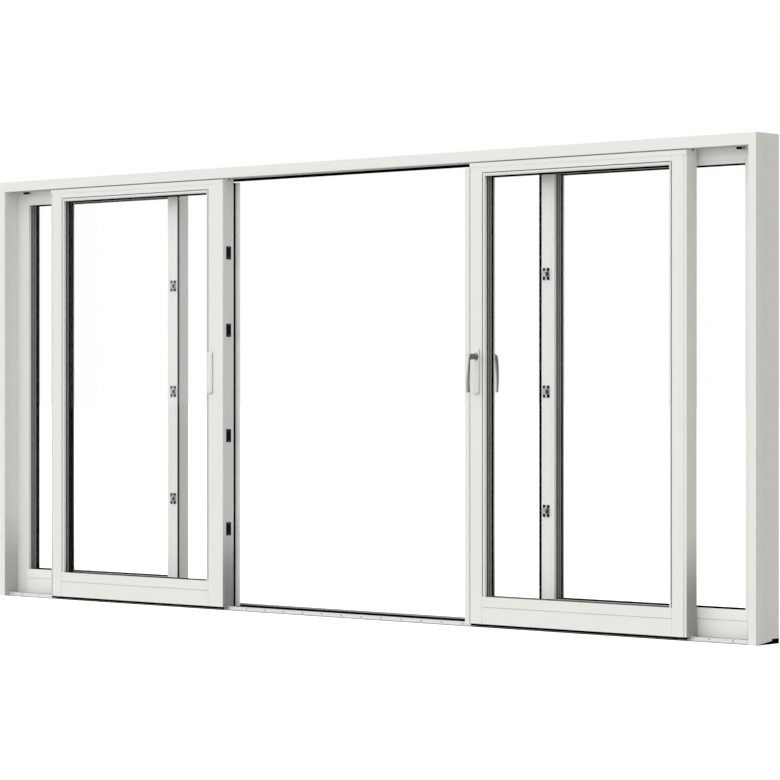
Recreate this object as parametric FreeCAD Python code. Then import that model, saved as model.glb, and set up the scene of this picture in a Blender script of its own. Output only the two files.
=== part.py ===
import FreeCAD, Part
import math
import os

os.makedirs("parts", exist_ok=True)

# Four-light sliding patio door, in millimetres.
# X runs along the wall, Y from the room to the outside, Z upwards.
# The origin lies under the threshold, at mid length and mid depth.

# Outer frame
FRAME_LENGTH = 4780.0
FRAME_HEIGHT = 2180.0
OPENING_LENGTH = 2324.0
JAMB_FACE = 39.0
HEAD_FACE = 51.5
HEAD_SHOULDER = 28.0
JAMB_RECESS = 4.0
JAMB_RECESS_START = 21.0
SIDE_GROOVES = ((9.0, 19.0, 2.0), (74.0, 80.0, 3.0))
EDGE_BREAK = 1.5

# Head channel and guide
FASCIA_THICK = 16.0
CHANNEL_MARGIN = 6.0
CHANNEL_HEIGHT = 21.5
GUIDE_FIN = 6.0
GUIDE_FIN_DROP = 24.0
GUIDE_FLANGE = 30.0
GUIDE_PLATE = 3.0
HEAD_SEAL_THICK = 8.0
HEAD_SEAL_DROP = 13.0

# Threshold
BASE_START = 10.0
BASE_START_HEIGHT = 0.6
BASE_STEP_HEIGHT = 14.0
RIB_BAND = 54.0
RIB_TOP = 22.0
RIB_GAP_FLOOR = 13.5
RIB_WIDTH = 15.5
RIB_GAP = 8.0
RAIL_CENTRE = 37.5
RAIL_THICK = 7.0
RAIL_TOP = 19.0
RAIL_FOOT = 22.0
RAIL_FOOT_THICK = 2.5
SLOT_WIDTH = 5.0
SLOT_HEIGHT = 7.0
SLOT_PITCH = 125.0
SLOT_SILL = 7.0
COVER_THICK = 2.5
COVER_NOSE = 3.0

# Glazed lights, fixed and sliding
LIP_THICK = 9.0
LEAF_FACE = 2.0
PLANE_GAP = 18.0
FIXED_SET_BACK = 3.0
LEAF_LAP = 80.5
LEAF_OUTER_STILE = 80.0
LEAF_MEETING_STILE = 102.0
FIXED_OUTER_STILE = 68.0
FIXED_MEETING_STILE = 58.0
BOTTOM_RAIL_TOP = 141.0
BOTTOM_JOINT = 93.0
TOP_RAIL_FACE = 45.0
LEAF_BOTTOM = 16.0
BATTEN_HEIGHT = 20.0
BATTEN_PROUD = 2.0
TONGUE_START = 22.0
TONGUE_BACK = 4.0
TONGUE_HEIGHT = 17.0
FACE_GROOVE_WIDTH = 11.0
FACE_GROOVE_DEPTH = 3.0
FACE_GROOVE_LIP = 5.0
JOINT_GROOVE = 2.0
MEETING_GROOVES = (8.0, 54.0)
SKIRT_GAP = 0.5
SEAT_GAP = 0.3

# Glazing
PANE = 4.0
CAVITY = 12.0
REVEAL = 20.0
GASKET = 3.0
REAR_GASKET = 11.0
GASKET_HEIGHT = 9.0
BEAD_FACE = 14.0
TOP_BEAD_FACE = 19.0
SIDE_BEAD_BEVEL = (5.0, 3.0)
TOP_BEAD_BEVEL = (8.0, 5.0)
BEAD_GROOVE = (3.5, 7.0)
BEAD_SET_BACK = 0.5
BEAD_JOINT = 0.4
GLASS_EDGE_GAP = 3.0
SPACER_FACE = 8.0

# Running gear
RUN_CLEARANCE = 5.5
RAIL_GROOVE_TOP = 31.0
ROLLER_RADIUS = 15.0
ROLLER_WIDTH = 8.0
ROLLER_SPACING = 110.0
CARRIAGE_GAP = 12.0
CARRIAGE_LENGTH = 180.0
CARRIAGE_PLATE = 3.0
CARRIAGE_TOP = 62.0

# Meeting edges and lock
MEETING_GAP = 5.0
FRONT_STRIP = 30.0
FRONT_STRIP_THICK = 14.0
STRIP_SHADOW = (2.0, 8.0)
REAR_STRIP = 28.0
REAR_STRIP_ROOT = 20.0
REAR_STRIP_THICK = 4.0
REAR_SEAL_DEPTH = 13.5
KEEP_DEPTH = 32.0
KEEP_HEIGHT = 65.0
KEEP_THICK = 6.0
KEEP_PROUD = 2.0
KEEP_SLOT = (14.0, 40.0, 4.0)
KEEP_CENTRE_DEPTH = 40.0
KEEPS_ABOVE_BOTTOM = (384.0, 844.0)
KEEPS_BELOW_TOP = (743.0, 361.0)
FACEPLATE_WIDTH = 24.0
FACEPLATE_THICK = 3.0
FACEPLATE_MARGIN = 130.0

# Stops, seals and clips of the fixed lights
STOP_FROM_BACK = 11.0
STOP_BRACKET = 76.0
STOP_BRACKET_THICK = 4.0
BUFFER_LENGTH = 33.0
BUFFER_SIZE = 18.0
BUFFER_DROP = 33.0
EDGE_SEAL_WIDTH = 5.0
EDGE_SEAL_THICK = 5.0
CLIP_WIDTH = 34.0
CLIP_HEIGHT = 54.0
CLIP_PROUD = 11.0
CLIPS_ABOVE_FLOOR = (538.0, 1078.0)
CLIP_BELOW_TOP = 513.0

# Handle set
PIVOT_HEIGHT = 1237.0
PLATE_WIDTH = 32.0
PLATE_LENGTH = 212.0
PLATE_THICK = 9.0
PLATE_BELOW_PIVOT = 67.0
PLATE_BEVEL = 2.5
PLATE_FROM_EDGE = 73.0
COVER_PLATE_FROM_EDGE = 84.0
NECK_RADIUS = 14.5
NECK_END_RADIUS = 11.5
NECK_LENGTH = 20.0
GRIP_WIDTH = 17.0
GRIP_BEVEL = 2.5
GRIP_LEAN = 8.0
GRIP_TOP = 15.0
GRIP_UNDER = -12.0
GRIP_ROOT = 4.0
OUTER_BEND = (34.0, 26.0)
INNER_BEND = (36.0, 14.0)
OUTER_TIP = (59.8, -160.0)
INNER_TIP = (53.5, -163.0)
SPINDLE = 8.0
SPINDLE_PLAY = 1.5

# Rest positions of the leaves, as the way each has slid from fully open
OPEN_GAP = 5.0
LEFT_LEAF_SLID = 243.0
RIGHT_LEAF_SLID = 207.0

# Sizes that follow from the ones above
GLASS_THICK = 3 * PANE + 2 * CAVITY
LIP_FRONT = REVEAL + GLASS_THICK + REAR_GASKET
LIGHT_THICK = LIP_FRONT + LIP_THICK
FIXED_FACE = LEAF_FACE + LIGHT_THICK + PLANE_GAP
FRAME_DEPTH = FIXED_FACE + LIGHT_THICK + FIXED_SET_BACK
X_LEFT = -FRAME_LENGTH / 2
ROOM = -FRAME_DEPTH / 2
BASE_STEP = FRAME_DEPTH - RIB_BAND
HEAD_UNDERSIDE = FRAME_HEIGHT - HEAD_FACE
CHANNEL_TOP = HEAD_UNDERSIDE + CHANNEL_HEIGHT
CHANNEL_BACK = LEAF_FACE + LIGHT_THICK + CHANNEL_MARGIN
LEAF_TOP = HEAD_UNDERSIDE - RUN_CLEARANCE
LEAF_SHOULDER = LEAF_TOP - BATTEN_HEIGHT
TOP_RAIL_BOTTOM = LEAF_TOP - TOP_RAIL_FACE
SIGHT_TOP = TOP_RAIL_BOTTOM - TOP_BEAD_FACE
REBATE_TOP = SIGHT_TOP + BEAD_FACE
REBATE_BOTTOM = BOTTOM_RAIL_TOP - BEAD_FACE
REBATE_FRONT = REVEAL - GASKET
REAR_STRIP_TOP = HEAD_UNDERSIDE - HEAD_SEAL_DROP - RUN_CLEARANCE
TONGUE_END = LIGHT_THICK - TONGUE_BACK
TONGUE_MIDDLE = (TONGUE_START + TONGUE_END) / 2
LEAF_LENGTH = (OPENING_LENGTH - MEETING_GAP) / 2 + LEAF_LAP
FIXED_MEETING_EDGE = (FRAME_LENGTH - OPENING_LENGTH) / 2
FIXED_SKIRT_BOTTOM = BASE_STEP_HEIGHT + SKIRT_GAP
KEEP_HEIGHTS = [LEAF_BOTTOM + height for height in KEEPS_ABOVE_BOTTOM]
KEEP_HEIGHTS += [LEAF_TOP - drop for drop in KEEPS_BELOW_TOP]
CLIP_HEIGHTS = [*CLIPS_ABOVE_FLOOR, LEAF_TOP - CLIP_BELOW_TOP]
PLATE_CENTRE = PIVOT_HEIGHT - PLATE_BELOW_PIVOT

# A leaf is fully open where it comes to its buffer, or where its lever comes to the fixed light
BUFFER_END = JAMB_FACE + STOP_BRACKET + BUFFER_LENGTH
LEVER_SPACE = PLATE_FROM_EDGE + NECK_RADIUS + EDGE_SEAL_WIDTH
LEAF_OPEN = OPEN_GAP + max(BUFFER_END, FIXED_MEETING_EDGE + LEVER_SPACE - LEAF_LENGTH)


def box(x0, x1, y0, y1, z0, z1):
    return Part.makeBox(x1 - x0, y1 - y0, z1 - z0, FreeCAD.Vector(x0, y0, z0))


def extrude_z(points, z0, z1):
    corners = [FreeCAD.Vector(x, y, z0) for x, y in points]
    face = Part.Face(Part.makePolygon(corners + corners[:1]))
    return face.extrude(FreeCAD.Vector(0, 0, z1 - z0))


def extrude_x(points, x0, x1):
    corners = [FreeCAD.Vector(x0, y, z) for y, z in points]
    face = Part.Face(Part.makePolygon(corners + corners[:1]))
    return face.extrude(FreeCAD.Vector(x1 - x0, 0, 0))


def along_y(radius, x, z, y0, y1):
    return Part.makeCylinder(radius, y1 - y0, FreeCAD.Vector(x, y0, z), FreeCAD.Vector(0, 1, 0))


def moved(shape, x=0.0, y=0.0, z=0.0):
    copy = shape.copy()
    copy.translate(FreeCAD.Vector(x, y, z))
    return copy


def handed(shape, side, x):
    """A shape made from its outer edge at x = 0, set with that edge at x on the given side."""
    if side == "right":
        shape = shape.mirror(FreeCAD.Vector(0, 0, 0), FreeCAD.Vector(1, 0, 0))
    return moved(shape, x=x)


def save(name, shapes):
    shape = Part.makeCompound(shapes) if len(shapes) > 1 else shapes[0]
    shape.exportStep(f"parts/{name}.step")


# Threshold: a ribbed plastic base with a running rail and a metal cover over its ribs

def base_height(depth):
    slope = (BASE_STEP_HEIGHT - BASE_START_HEIGHT) / (BASE_STEP - BASE_START)
    return BASE_START_HEIGHT + slope * (depth - BASE_START)


def base_outline():
    points = [(BASE_START, 0.0), (BASE_START, BASE_START_HEIGHT), (BASE_STEP, BASE_STEP_HEIGHT)]
    depth = BASE_STEP
    while depth < FRAME_DEPTH:
        rib_end = min(depth + RIB_WIDTH, FRAME_DEPTH)
        points += [(depth, RIB_TOP), (rib_end, RIB_TOP)]
        next_rib = rib_end + RIB_GAP
        if next_rib < FRAME_DEPTH:
            points += [(rib_end, RIB_GAP_FLOOR), (next_rib, RIB_GAP_FLOOR)]
        depth = next_rib
    points += [(FRAME_DEPTH, 0.0)]
    return points


def threshold_base():
    outline = [(ROOM + depth, z) for depth, z in base_outline()]
    return extrude_x(outline, X_LEFT, -X_LEFT)


def running_rail():
    foot_start = RAIL_CENTRE - RAIL_FOOT / 2
    foot_end = RAIL_CENTRE + RAIL_FOOT / 2
    web_start = RAIL_CENTRE - RAIL_THICK / 2
    web_end = RAIL_CENTRE + RAIL_THICK / 2
    section = [
        (foot_start, base_height(foot_start)),
        (foot_end, base_height(foot_end)),
        (foot_end, base_height(foot_end) + RAIL_FOOT_THICK),
        (web_end, base_height(web_end) + RAIL_FOOT_THICK),
        (web_end, RAIL_TOP),
        (web_start, RAIL_TOP),
        (web_start, base_height(web_start) + RAIL_FOOT_THICK),
        (foot_start, base_height(foot_start) + RAIL_FOOT_THICK),
    ]
    end = -X_LEFT - JAMB_FACE
    rail = extrude_x([(ROOM + depth, z) for depth, z in section], -end, end)
    crown = [edge for edge in rail.Edges
             if edge.Length > end and abs(edge.CenterOfMass.z - RAIL_TOP) < 0.01]
    rail = rail.makeChamfer(RAIL_THICK / 4, crown)
    count = int((2 * end - SLOT_PITCH) // SLOT_PITCH) + 1
    first = -(count - 1) * SLOT_PITCH / 2
    slots = []
    for index in range(count):
        x = first + index * SLOT_PITCH
        slots.append(box(x - SLOT_WIDTH / 2, x + SLOT_WIDTH / 2, ROOM + foot_start, ROOM + foot_end,
                         SLOT_SILL, SLOT_SILL + SLOT_HEIGHT))
    return rail.cut(Part.makeCompound(slots))


def threshold_cover():
    reach = -X_LEFT - FIXED_MEETING_EDGE - EDGE_SEAL_WIDTH
    section = [
        (BASE_STEP - SEAT_GAP, RIB_TOP),
        (FRAME_DEPTH, RIB_TOP),
        (FRAME_DEPTH, RIB_TOP + COVER_THICK),
        (BASE_STEP - COVER_THICK + COVER_NOSE, RIB_TOP + COVER_THICK),
        (BASE_STEP - COVER_THICK, RIB_TOP + COVER_THICK - COVER_NOSE),
        (BASE_STEP - COVER_THICK, BASE_STEP_HEIGHT),
        (BASE_STEP - SEAT_GAP, BASE_STEP_HEIGHT),
    ]
    return extrude_x([(ROOM + depth, z) for depth, z in section], -reach, reach)


# Outer frame: jambs stand on the threshold's end profile, the head is housed over them

def jamb():
    """The left jamb, from its outer face at x = 0."""
    shoulder = FRAME_HEIGHT - HEAD_SHOULDER
    side = [(0.0, 0.0), (BASE_START, 0.0), (BASE_START, BASE_START_HEIGHT),
            (BASE_STEP, BASE_STEP_HEIGHT), (BASE_STEP, RIB_TOP), (FRAME_DEPTH, RIB_TOP),
            (FRAME_DEPTH, shoulder), (0.0, shoulder)]
    body = extrude_x([(ROOM + depth, z) for depth, z in side], 0.0, JAMB_FACE)
    for start, end, deep in SIDE_GROOVES:
        body = body.cut(box(0.0, deep, ROOM + start, ROOM + end, 0.0, shoulder))
    recess = box(JAMB_FACE - JAMB_RECESS, JAMB_FACE, ROOM + JAMB_RECESS_START, ROOM + FIXED_FACE,
                 BASE_STEP_HEIGHT, HEAD_UNDERSIDE)
    body = body.cut(recess)
    return body


def head():
    end = -X_LEFT
    shoulder = FRAME_HEIGHT - HEAD_SHOULDER
    top = box(-end, end, ROOM, -ROOM, shoulder, FRAME_HEIGHT)
    inner = end - JAMB_FACE
    lower = box(-inner, inner, ROOM, -ROOM, HEAD_UNDERSIDE, shoulder)
    channel = box(-inner, inner, ROOM + FASCIA_THICK, ROOM + CHANNEL_BACK,
                  HEAD_UNDERSIDE, CHANNEL_TOP)
    body = top.fuse(lower).removeSplitter().cut(channel)
    front = [edge for edge in body.Edges
             if edge.Length > inner and abs(edge.CenterOfMass.y - ROOM) < 0.01]
    return body.makeChamfer(EDGE_BREAK, front)


def head_guide():
    inner = -X_LEFT - JAMB_FACE
    centre = ROOM + LEAF_FACE + TONGUE_MIDDLE
    plate = box(-inner, inner, centre - GUIDE_FLANGE / 2, centre + GUIDE_FLANGE / 2,
                CHANNEL_TOP - GUIDE_PLATE, CHANNEL_TOP)
    fin = box(-inner, inner, centre - GUIDE_FIN / 2, centre + GUIDE_FIN / 2,
              CHANNEL_TOP - GUIDE_FIN_DROP, CHANNEL_TOP)
    return plate.fuse(fin).removeSplitter()


def head_seal():
    """Black seal under the head, across the opening between the fixed lights."""
    inner = -X_LEFT - FIXED_MEETING_EDGE
    back = ROOM + FIXED_FACE - 4 * SEAT_GAP
    section = [
        (back - HEAD_SEAL_THICK, HEAD_UNDERSIDE),
        (back, HEAD_UNDERSIDE),
        (back, HEAD_UNDERSIDE - HEAD_SEAL_DROP),
        (back - HEAD_SEAL_THICK / 2, HEAD_UNDERSIDE - HEAD_SEAL_DROP),
    ]
    return extrude_x(section, -inner, inner)


def end_stop():
    """Bracket and buffer of the left stop, from the frame's outer face at x = 0."""
    centre = ROOM + CHANNEL_BACK - STOP_FROM_BACK
    half = BUFFER_SIZE / 2
    bottom = CHANNEL_TOP - BUFFER_DROP
    end = JAMB_FACE + STOP_BRACKET
    arm = box(JAMB_FACE, end, centre - half, centre + half,
              CHANNEL_TOP - STOP_BRACKET_THICK, CHANNEL_TOP)
    plate = box(end - STOP_BRACKET_THICK, end, centre - half, centre + half,
                bottom, CHANNEL_TOP)
    bracket = arm.fuse(plate).removeSplitter()
    middle = bottom + half
    buffer = Part.makeCylinder(half, BUFFER_LENGTH, FreeCAD.Vector(end, centre, middle),
                               FreeCAD.Vector(1, 0, 0))
    rim = [edge for edge in buffer.Edges if edge.CenterOfMass.x > end + BUFFER_LENGTH - 0.01]
    return bracket, buffer.makeChamfer(BUFFER_SIZE / 5, rim)


# Glazed lights: every light is made from its outer edge at x = 0, its room face at y = 0

def stile(width, z0, z1):
    section = [
        (0.0, EDGE_BREAK),
        (EDGE_BREAK, 0.0),
        (width - EDGE_BREAK, 0.0),
        (width, EDGE_BREAK),
        (width, LIP_FRONT),
        (width + BEAD_FACE, LIP_FRONT),
        (width + BEAD_FACE, LIGHT_THICK),
        (0.0, LIGHT_THICK),
    ]
    return extrude_z(section, z0, z1)


def far_stile(width, length, z0, z1):
    near = stile(width, z0, z1)
    return moved(near.mirror(FreeCAD.Vector(0, 0, 0), FreeCAD.Vector(1, 0, 0)), x=length)


def bottom_rail(length, z_bottom):
    """A rail of two boards with a grooved joint, the upper one rebated for the glass."""
    section = [
        (0.0, z_bottom),
        (0.0, BOTTOM_JOINT - JOINT_GROOVE / 2),
        (JOINT_GROOVE, BOTTOM_JOINT),
        (0.0, BOTTOM_JOINT + JOINT_GROOVE / 2),
        (0.0, BOTTOM_RAIL_TOP - EDGE_BREAK),
        (EDGE_BREAK, BOTTOM_RAIL_TOP),
        (REBATE_FRONT, BOTTOM_RAIL_TOP),
        (REBATE_FRONT, REBATE_BOTTOM),
        (LIP_FRONT, REBATE_BOTTOM),
        (LIP_FRONT, BOTTOM_RAIL_TOP),
        (LIGHT_THICK, BOTTOM_RAIL_TOP),
        (LIGHT_THICK, z_bottom),
    ]
    return extrude_x(section, 0.0, length)


def top_rail(length, z_top):
    section = [
        (0.0, z_top),
        (0.0, TOP_RAIL_BOTTOM + EDGE_BREAK),
        (EDGE_BREAK, TOP_RAIL_BOTTOM),
        (REBATE_FRONT, TOP_RAIL_BOTTOM),
        (REBATE_FRONT, REBATE_TOP),
        (LIP_FRONT, REBATE_TOP),
        (LIP_FRONT, SIGHT_TOP),
        (LIGHT_THICK, SIGHT_TOP),
        (LIGHT_THICK, z_top),
    ]
    return extrude_x(section, 0.0, length)


def bead_section(start, toward, face, bevel, groove):
    """Points across a glazing bead: distance along its face, then depth.

    It starts at the stile or rail, with a shadow groove there if one is given."""
    end = start + toward * face
    wide, deep = bevel
    points = [(end - toward * wide, BEAD_SET_BACK), (end, BEAD_SET_BACK + deep),
              (end, REBATE_FRONT), (start, REBATE_FRONT)]
    if not groove:
        return [(start, BEAD_SET_BACK)] + points
    shadow, floor = groove
    inner = start + toward * shadow
    return [(start, floor), (inner, floor), (inner, BEAD_SET_BACK)] + points


def beads(near, far, side_bevel, top_bevel, groove):
    """Two upright beads that stand on the bottom rail, and a top one between them."""
    pieces = []
    for start, toward in ((near, 1.0), (far, -1.0)):
        section = bead_section(start, toward, BEAD_FACE, side_bevel, groove)
        pieces.append(extrude_z(section, BOTTOM_RAIL_TOP, TOP_RAIL_BOTTOM))
    section = bead_section(TOP_RAIL_BOTTOM, -1.0, TOP_BEAD_FACE, top_bevel, groove)
    inset = BEAD_FACE + BEAD_JOINT
    pieces.append(extrude_x([(depth, height) for height, depth in section],
                            near + inset, far - inset))
    return pieces


def ring(near, far, width, y0, y1):
    """A frame of the given width, flush with the sight lines around the clear glass."""
    x0 = near + BEAD_FACE
    x1 = far - BEAD_FACE
    outer = box(x0 - width, x1 + width, y0, y1, BOTTOM_RAIL_TOP - width, SIGHT_TOP + width)
    return outer.cut(box(x0, x1, y0, y1, BOTTOM_RAIL_TOP, SIGHT_TOP))


def gaskets(near, far):
    return [ring(near, far, GASKET_HEIGHT, REBATE_FRONT, REVEAL),
            ring(near, far, GASKET_HEIGHT, LIP_FRONT - REAR_GASKET, LIP_FRONT)]


def panes(near, far):
    sheets = []
    for index in range(3):
        y = REVEAL + index * (PANE + CAVITY)
        sheets.append(box(near + GLASS_EDGE_GAP, far - GLASS_EDGE_GAP, y, y + PANE,
                          REBATE_BOTTOM + GLASS_EDGE_GAP, REBATE_TOP - GLASS_EDGE_GAP))
    return sheets


def spacers(near, far):
    rings = []
    for index in range(2):
        y = REVEAL + PANE + index * (PANE + CAVITY)
        rings.append(ring(near, far, SPACER_FACE, y, y + CAVITY))
    return rings


# Fixed lights: outer stile against the jamb, bottom rail seated on the threshold's ribs

def fixed_light():
    length = FIXED_MEETING_EDGE - JAMB_FACE
    top = HEAD_UNDERSIDE
    near = FIXED_OUTER_STILE
    far = length - FIXED_MEETING_STILE
    seat = box(0.0, length, BASE_STEP - COVER_THICK - SEAT_GAP - FIXED_FACE, LIGHT_THICK,
               FIXED_SKIRT_BOTTOM, RIB_TOP)
    stiles = [stile(FIXED_OUTER_STILE, FIXED_SKIRT_BOTTOM, top).cut(seat),
              far_stile(FIXED_MEETING_STILE, length, FIXED_SKIRT_BOTTOM, top).cut(seat)]
    rails = [bottom_rail(length, FIXED_SKIRT_BOTTOM).cut(seat), top_rail(length, top)]
    rails = [rail.common(box(near, far, 0.0, LIGHT_THICK, 0.0, FRAME_HEIGHT)) for rail in rails]
    rails = [rail.cut(Part.makeCompound(stiles)) for rail in rails]
    return {
        "stiles": stiles,
        "rails": rails,
        "beads": beads(near, far, (EDGE_BREAK, EDGE_BREAK), (EDGE_BREAK, EDGE_BREAK), None),
        "gaskets": gaskets(near, far),
        "glass": panes(near, far),
        "spacers": spacers(near, far),
    }


def edge_seal():
    """Black seal on the opening-side edge of a fixed meeting stile, in the frame's own place."""
    depth = FIXED_FACE - 4 * SEAT_GAP
    return extrude_z([(FIXED_MEETING_EDGE, ROOM + depth),
                      (FIXED_MEETING_EDGE + EDGE_SEAL_WIDTH - 2 * EDGE_BREAK, ROOM + depth),
                      (FIXED_MEETING_EDGE + EDGE_SEAL_WIDTH, ROOM + depth + 2 * EDGE_BREAK),
                      (FIXED_MEETING_EDGE + EDGE_SEAL_WIDTH, ROOM + depth + EDGE_SEAL_THICK),
                      (FIXED_MEETING_EDGE, ROOM + depth + EDGE_SEAL_THICK)],
                     RIB_TOP + COVER_THICK + SEAT_GAP, HEAD_UNDERSIDE - SEAT_GAP)


def clip(z):
    """Interlock clip on a fixed meeting stile: a foot plate with a raised hook."""
    centre = FIXED_MEETING_EDGE - FIXED_MEETING_STILE / 2
    x0 = centre - CLIP_WIDTH / 2
    x1 = centre + CLIP_WIDTH / 2
    front = ROOM + FIXED_FACE
    foot = box(x0, x1, front - CLIP_PROUD / 3, front, z - CLIP_HEIGHT / 2, z + CLIP_HEIGHT / 2)
    hook = box(x0 + CLIP_WIDTH / 2, x1, front - CLIP_PROUD, front - CLIP_PROUD / 3,
               z - CLIP_HEIGHT / 4, z + CLIP_HEIGHT / 4)
    lip = box(x0 + CLIP_WIDTH / 4, x1, front - CLIP_PROUD, front - CLIP_PROUD * 2 / 3,
              z - CLIP_HEIGHT / 4, z + CLIP_HEIGHT / 4)
    return foot.fuse([hook, lip]).removeSplitter()


# Sliding leaves: room face, rail groove underneath, tongue with a guide groove on top

def rail_groove(length):
    start = RAIL_CENTRE - RAIL_THICK / 2 - RUN_CLEARANCE - LEAF_FACE
    end = RAIL_CENTRE + RAIL_THICK / 2 + RUN_CLEARANCE - LEAF_FACE
    return box(0.0, length, start, end, LEAF_BOTTOM, RAIL_GROOVE_TOP)


def face_groove():
    start = FACE_GROOVE_LIP
    return box(start, start + FACE_GROOVE_WIDTH, 0.0, FACE_GROOVE_DEPTH, LEAF_BOTTOM, LEAF_TOP)


def meeting_grooves(length):
    """Two v-grooves down the meeting edge at x = length."""
    half = JOINT_GROOVE / 2
    grooves = []
    for depth in MEETING_GROOVES:
        section = [(length, depth - half), (length - JOINT_GROOVE, depth), (length, depth + half)]
        grooves.append(extrude_z(section, LEAF_BOTTOM, LEAF_TOP))
    return Part.makeCompound(grooves)


def carriage_centres(near, far):
    inset = CARRIAGE_GAP + CARRIAGE_LENGTH / 2
    return (near + inset, far - inset)


def carriage_pocket(centre):
    middle = RAIL_CENTRE - LEAF_FACE
    half = ROLLER_WIDTH / 2 + CARRIAGE_PLATE + 2 * SEAT_GAP
    reach = CARRIAGE_LENGTH / 2 + CARRIAGE_PLATE
    return box(centre - reach, centre + reach, middle - half, middle + half,
               LEAF_BOTTOM, CARRIAGE_TOP)


def carriage(centre):
    """Roller carriage: two cheeks under a top plate, with two wheels that run on the rail."""
    middle = RAIL_CENTRE - LEAF_FACE
    half = ROLLER_WIDTH / 2 + CARRIAGE_PLATE
    x0 = centre - CARRIAGE_LENGTH / 2
    x1 = centre + CARRIAGE_LENGTH / 2
    axle_height = RAIL_TOP + SEAT_GAP + ROLLER_RADIUS
    housing = box(x0, x1, middle - half, middle + half, axle_height - CARRIAGE_PLATE, CARRIAGE_TOP)
    inside = box(x0, x1, middle - ROLLER_WIDTH / 2, middle + ROLLER_WIDTH / 2,
                 axle_height - CARRIAGE_PLATE, CARRIAGE_TOP - CARRIAGE_PLATE)
    body = housing.cut(inside)
    for x in (centre - ROLLER_SPACING / 2, centre + ROLLER_SPACING / 2):
        body = body.fuse(along_y(ROLLER_RADIUS, x, axle_height, middle - ROLLER_WIDTH / 2,
                                 middle + ROLLER_WIDTH / 2))
    return body.removeSplitter()


def leaf_top_rail(length, near, far):
    between = top_rail(length, LEAF_SHOULDER)
    between = between.common(box(near, far, 0.0, LIGHT_THICK, 0.0, FRAME_HEIGHT))
    top = LEAF_TOP + TONGUE_HEIGHT
    groove = GUIDE_FIN / 2 + RUN_CLEARANCE
    groove_floor = CHANNEL_TOP - GUIDE_FIN_DROP - RUN_CLEARANCE
    section = [
        (-BATTEN_PROUD, LEAF_SHOULDER),
        (-BATTEN_PROUD, LEAF_TOP),
        (TONGUE_START, LEAF_TOP),
        (TONGUE_START, top),
        (TONGUE_MIDDLE - groove, top),
        (TONGUE_MIDDLE - groove, groove_floor),
        (TONGUE_MIDDLE + groove, groove_floor),
        (TONGUE_MIDDLE + groove, top),
        (TONGUE_END, top),
        (TONGUE_END, LEAF_TOP),
        (LIGHT_THICK, LEAF_TOP),
        (LIGHT_THICK, LEAF_SHOULDER),
    ]
    return between.fuse(extrude_x(section, 0.0, length)).removeSplitter()


def leaf(meeting_stile, length):
    """A sliding leaf from its outer edge; meeting_stile is the face of its inner stile."""
    near = LEAF_OUTER_STILE
    far = length - meeting_stile
    under = rail_groove(length)
    outer = stile(near, LEAF_BOTTOM, LEAF_SHOULDER).cut(under).cut(face_groove())
    inner = far_stile(meeting_stile, length, LEAF_BOTTOM, LEAF_SHOULDER).cut(under)
    stiles = [outer, inner.cut(meeting_grooves(length))]
    lower = bottom_rail(length, LEAF_BOTTOM)
    lower = lower.common(box(near, far, 0.0, LIGHT_THICK, 0.0, FRAME_HEIGHT))
    lower = lower.cut(Part.makeCompound(stiles + [under]))
    centres = carriage_centres(near, far)
    lower = lower.cut(Part.makeCompound([carriage_pocket(centre) for centre in centres]))
    upper = leaf_top_rail(length, near, far).cut(Part.makeCompound(stiles))
    return {
        "stiles": stiles,
        "rails": [lower, upper],
        "beads": beads(near, far, SIDE_BEAD_BEVEL, TOP_BEAD_BEVEL, BEAD_GROOVE),
        "gaskets": gaskets(near, far),
        "glass": panes(near, far),
        "spacers": spacers(near, far),
        "rollers": [carriage(centre) for centre in centres],
    }


# Meeting edges: a lapping strip on each leaf, keeps on the left leaf, a lock plate on the right

def front_strip():
    """Room-side strip of the right leaf, from the leaf's inner edge at x = 0 outwards."""
    wide, deep = STRIP_SHADOW
    section = [(0.0, deep), (wide, deep), (wide, 0.0), (FRONT_STRIP - EDGE_BREAK, 0.0),
               (FRONT_STRIP, EDGE_BREAK), (FRONT_STRIP, FRONT_STRIP_THICK), (0.0, FRONT_STRIP_THICK)]
    return extrude_z(section, LEAF_BOTTOM, LEAF_SHOULDER)


def rear_strip():
    """Metal angle on the outside of the left leaf, whose inner edge is at x = 0."""
    root = -REAR_STRIP_ROOT
    front = LIGHT_THICK + REAR_SEAL_DEPTH
    back = front + REAR_STRIP_THICK
    section = [(root, LIGHT_THICK), (root + REAR_STRIP_THICK, LIGHT_THICK),
               (root + REAR_STRIP_THICK, front), (REAR_STRIP - EDGE_BREAK, front),
               (REAR_STRIP, front + EDGE_BREAK), (REAR_STRIP, back), (root, back)]
    return extrude_z(section, LEAF_BOTTOM, REAR_STRIP_TOP)


def rear_strip_seal():
    """Black seal in the angle, flush with the leaf's inner edge at x = 0."""
    section = [(REAR_STRIP_THICK - REAR_STRIP_ROOT, LIGHT_THICK), (0.0, LIGHT_THICK),
               (0.0, LIGHT_THICK + REAR_SEAL_DEPTH),
               (REAR_STRIP_THICK - REAR_STRIP_ROOT, LIGHT_THICK + REAR_SEAL_DEPTH)]
    return extrude_z(section, LEAF_BOTTOM, REAR_STRIP_TOP)


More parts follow.
